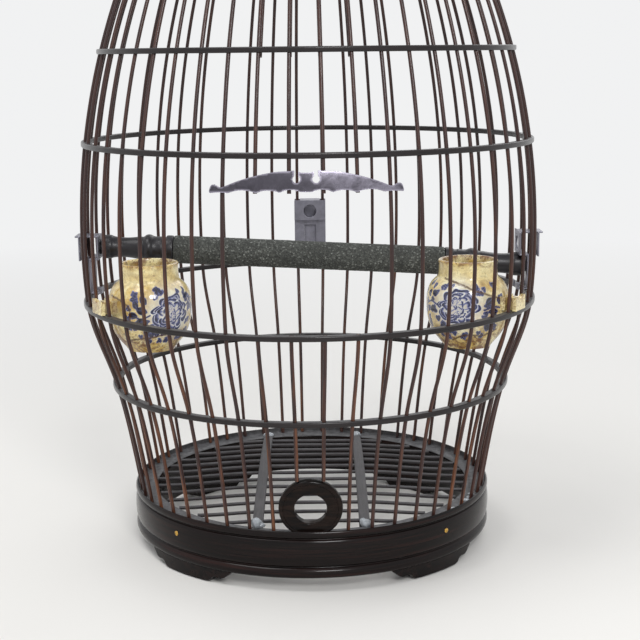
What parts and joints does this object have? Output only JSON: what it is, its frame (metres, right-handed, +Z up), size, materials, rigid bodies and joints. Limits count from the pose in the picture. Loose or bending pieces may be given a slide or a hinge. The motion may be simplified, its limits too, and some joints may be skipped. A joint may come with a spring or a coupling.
{
  "type": "birdcage",
  "caption": "Round bulging bamboo songbird cage on a turned base, with drilled hoops, a lifting door, a perch, glazed feeding pots and a swivelling hook.",
  "frame": {"origin": "on the ground at the middle of the object's bounding box, which is the cage's axis", "axes": "+Z up, the door faces -Y, +X to the right of someone looking at the door"},
  "size_m": [0.326, 0.321, 0.5866],
  "materials": {
    "lacquered_wood": "dark hardwood, polished",
    "bamboo": "split bamboo stained dark red-brown, oiled",
    "pale_bamboo": "worn grey-brown bamboo, matte",
    "bracket_steel": "bent sheet, satin",
    "door_metal": "cast ornament plate, satin",
    "hook_metal": "polished",
    "grit": "rod with a rough grey grit coat",
    "turned_ends": "turned and polished black",
    "glazed_pot": "cream glaze with blue painting"
  },
  "bodies": {
    "cage": {"base_ring": "lacquered_wood", "foot_front_right": "lacquered_wood", "foot_rear_right": "lacquered_wood", "foot_rear_left": "lacquered_wood", "foot_front_left": "lacquered_wood", "floor_batten_left": "pale_bamboo", "floor_batten_right": "pale_bamboo", "floor_rod_01": "pale_bamboo", "floor_rod_02": "pale_bamboo", "floor_rod_03": "pale_bamboo", "floor_rod_04": "pale_bamboo", "floor_rod_05": "pale_bamboo", "floor_rod_06": "pale_bamboo", "floor_rod_07": "pale_bamboo", "floor_rod_08": "pale_bamboo", "floor_rod_09": "pale_bamboo", "floor_rod_10": "pale_bamboo", "floor_rod_11": "pale_bamboo", "floor_rod_12": "pale_bamboo", "floor_rod_13": "pale_bamboo", "wall_bars_01": "bamboo", "wall_bars_02": "bamboo", "wall_bars_03": "bamboo", "wall_bars_04": "bamboo", "wall_bars_05": "bamboo", "wall_bars_06": "bamboo", "wall_bars_07": "bamboo", "wall_bars_08": "bamboo", "wall_bars_09": "bamboo", "wall_bars_10": "bamboo", "wall_bars_11": "bamboo", "crown_bars": "bamboo", "hoop_top": "bamboo", "hoop_upper": "bamboo", "hoop_door": "bamboo", "hoop_pot": "bamboo", "hoop_waist": "bamboo", "ring_port": "lacquered_wood", "lower_bar_01": "bamboo", "lower_bar_02": "bamboo", "lower_bar_03": "bamboo", "lower_bar_04": "bamboo", "crown_plate": "lacquered_wood", "crown_cap": "lacquered_wood", "hook_ferrule": "hook_metal", "bracket_left": "bracket_steel", "bracket_right": "bracket_steel", "bracket_rear": "bracket_steel"},
    "door_plate": {"door_plate": "door_metal"},
    "door_bar_01": {"door_bar_01": "bamboo"},
    "door_bar_02": {"door_bar_02": "bamboo"},
    "door_bar_03": {"door_bar_03": "bamboo"},
    "door_bar_04": {"door_bar_04": "bamboo"},
    "perch": {"perch_core": "grit", "perch_end_right": "turned_ends", "perch_end_left": "turned_ends"},
    "pot_left": {"pot_left": "glazed_pot"},
    "pot_right": {"pot_right": "glazed_pot"},
    "hook": {"hook": "hook_metal", "hook_nut": "hook_metal"}
  },
  "joints": [
    {"name": "door_lift", "type": "hinge", "parent": "cage", "child": "door_plate", "pos_m": [0, 0.3082, 0.2163], "axis": [1, 0, 0], "range_deg": [0, 10.4]},
    {"name": "door_bar_01_lift", "type": "hinge", "parent": "cage", "child": "door_bar_01", "pos_m": [0.06013, 0.30228, 0.2163], "axis": [0.9808, -0.1951, 0], "range_deg": [-0.1, 10.5]},
    {"name": "door_bar_02_lift", "type": "hinge", "parent": "cage", "child": "door_bar_02", "pos_m": [0.02016, 0.30754, 0.2163], "axis": [0.9979, -0.0654, 0], "range_deg": [-0.1, 10.5]},
    {"name": "door_bar_03_lift", "type": "hinge", "parent": "cage", "child": "door_bar_03", "pos_m": [-0.02016, 0.30754, 0.2163], "axis": [0.9979, 0.0654, 0], "range_deg": [-0.1, 10.5]},
    {"name": "door_bar_04_lift", "type": "hinge", "parent": "cage", "child": "door_bar_04", "pos_m": [-0.06013, 0.30228, 0.2163], "axis": [0.9808, 0.1951, 0], "range_deg": [-0.1, 10.5]},
    {"name": "perch_roll", "type": "hinge", "parent": "cage", "child": "perch", "pos_m": [0, 0, 0.1995], "axis": [0.9986, 0, -0.0531], "continuous": true},
    {"name": "pot_left_slide", "type": "slide", "parent": "cage", "child": "pot_left", "axis": [0.866, 0.5, 0], "range_m": [0, 0.04]},
    {"name": "pot_right_slide", "type": "slide", "parent": "cage", "child": "pot_right", "axis": [-0.866, 0.5, 0], "range_m": [0, 0.04]},
    {"name": "hook_swivel", "type": "hinge", "parent": "cage", "child": "hook", "pos_m": [0, 0, 0.5], "axis": [0, 0, 1], "continuous": true}
  ],
  "couplings": [
    {"joint": "door_bar_01_lift", "follows": "door_lift", "ratio": 1},
    {"joint": "door_bar_02_lift", "follows": "door_lift", "ratio": 1},
    {"joint": "door_bar_03_lift", "follows": "door_lift", "ratio": 1},
    {"joint": "door_bar_04_lift", "follows": "door_lift", "ratio": 1}
  ]
}
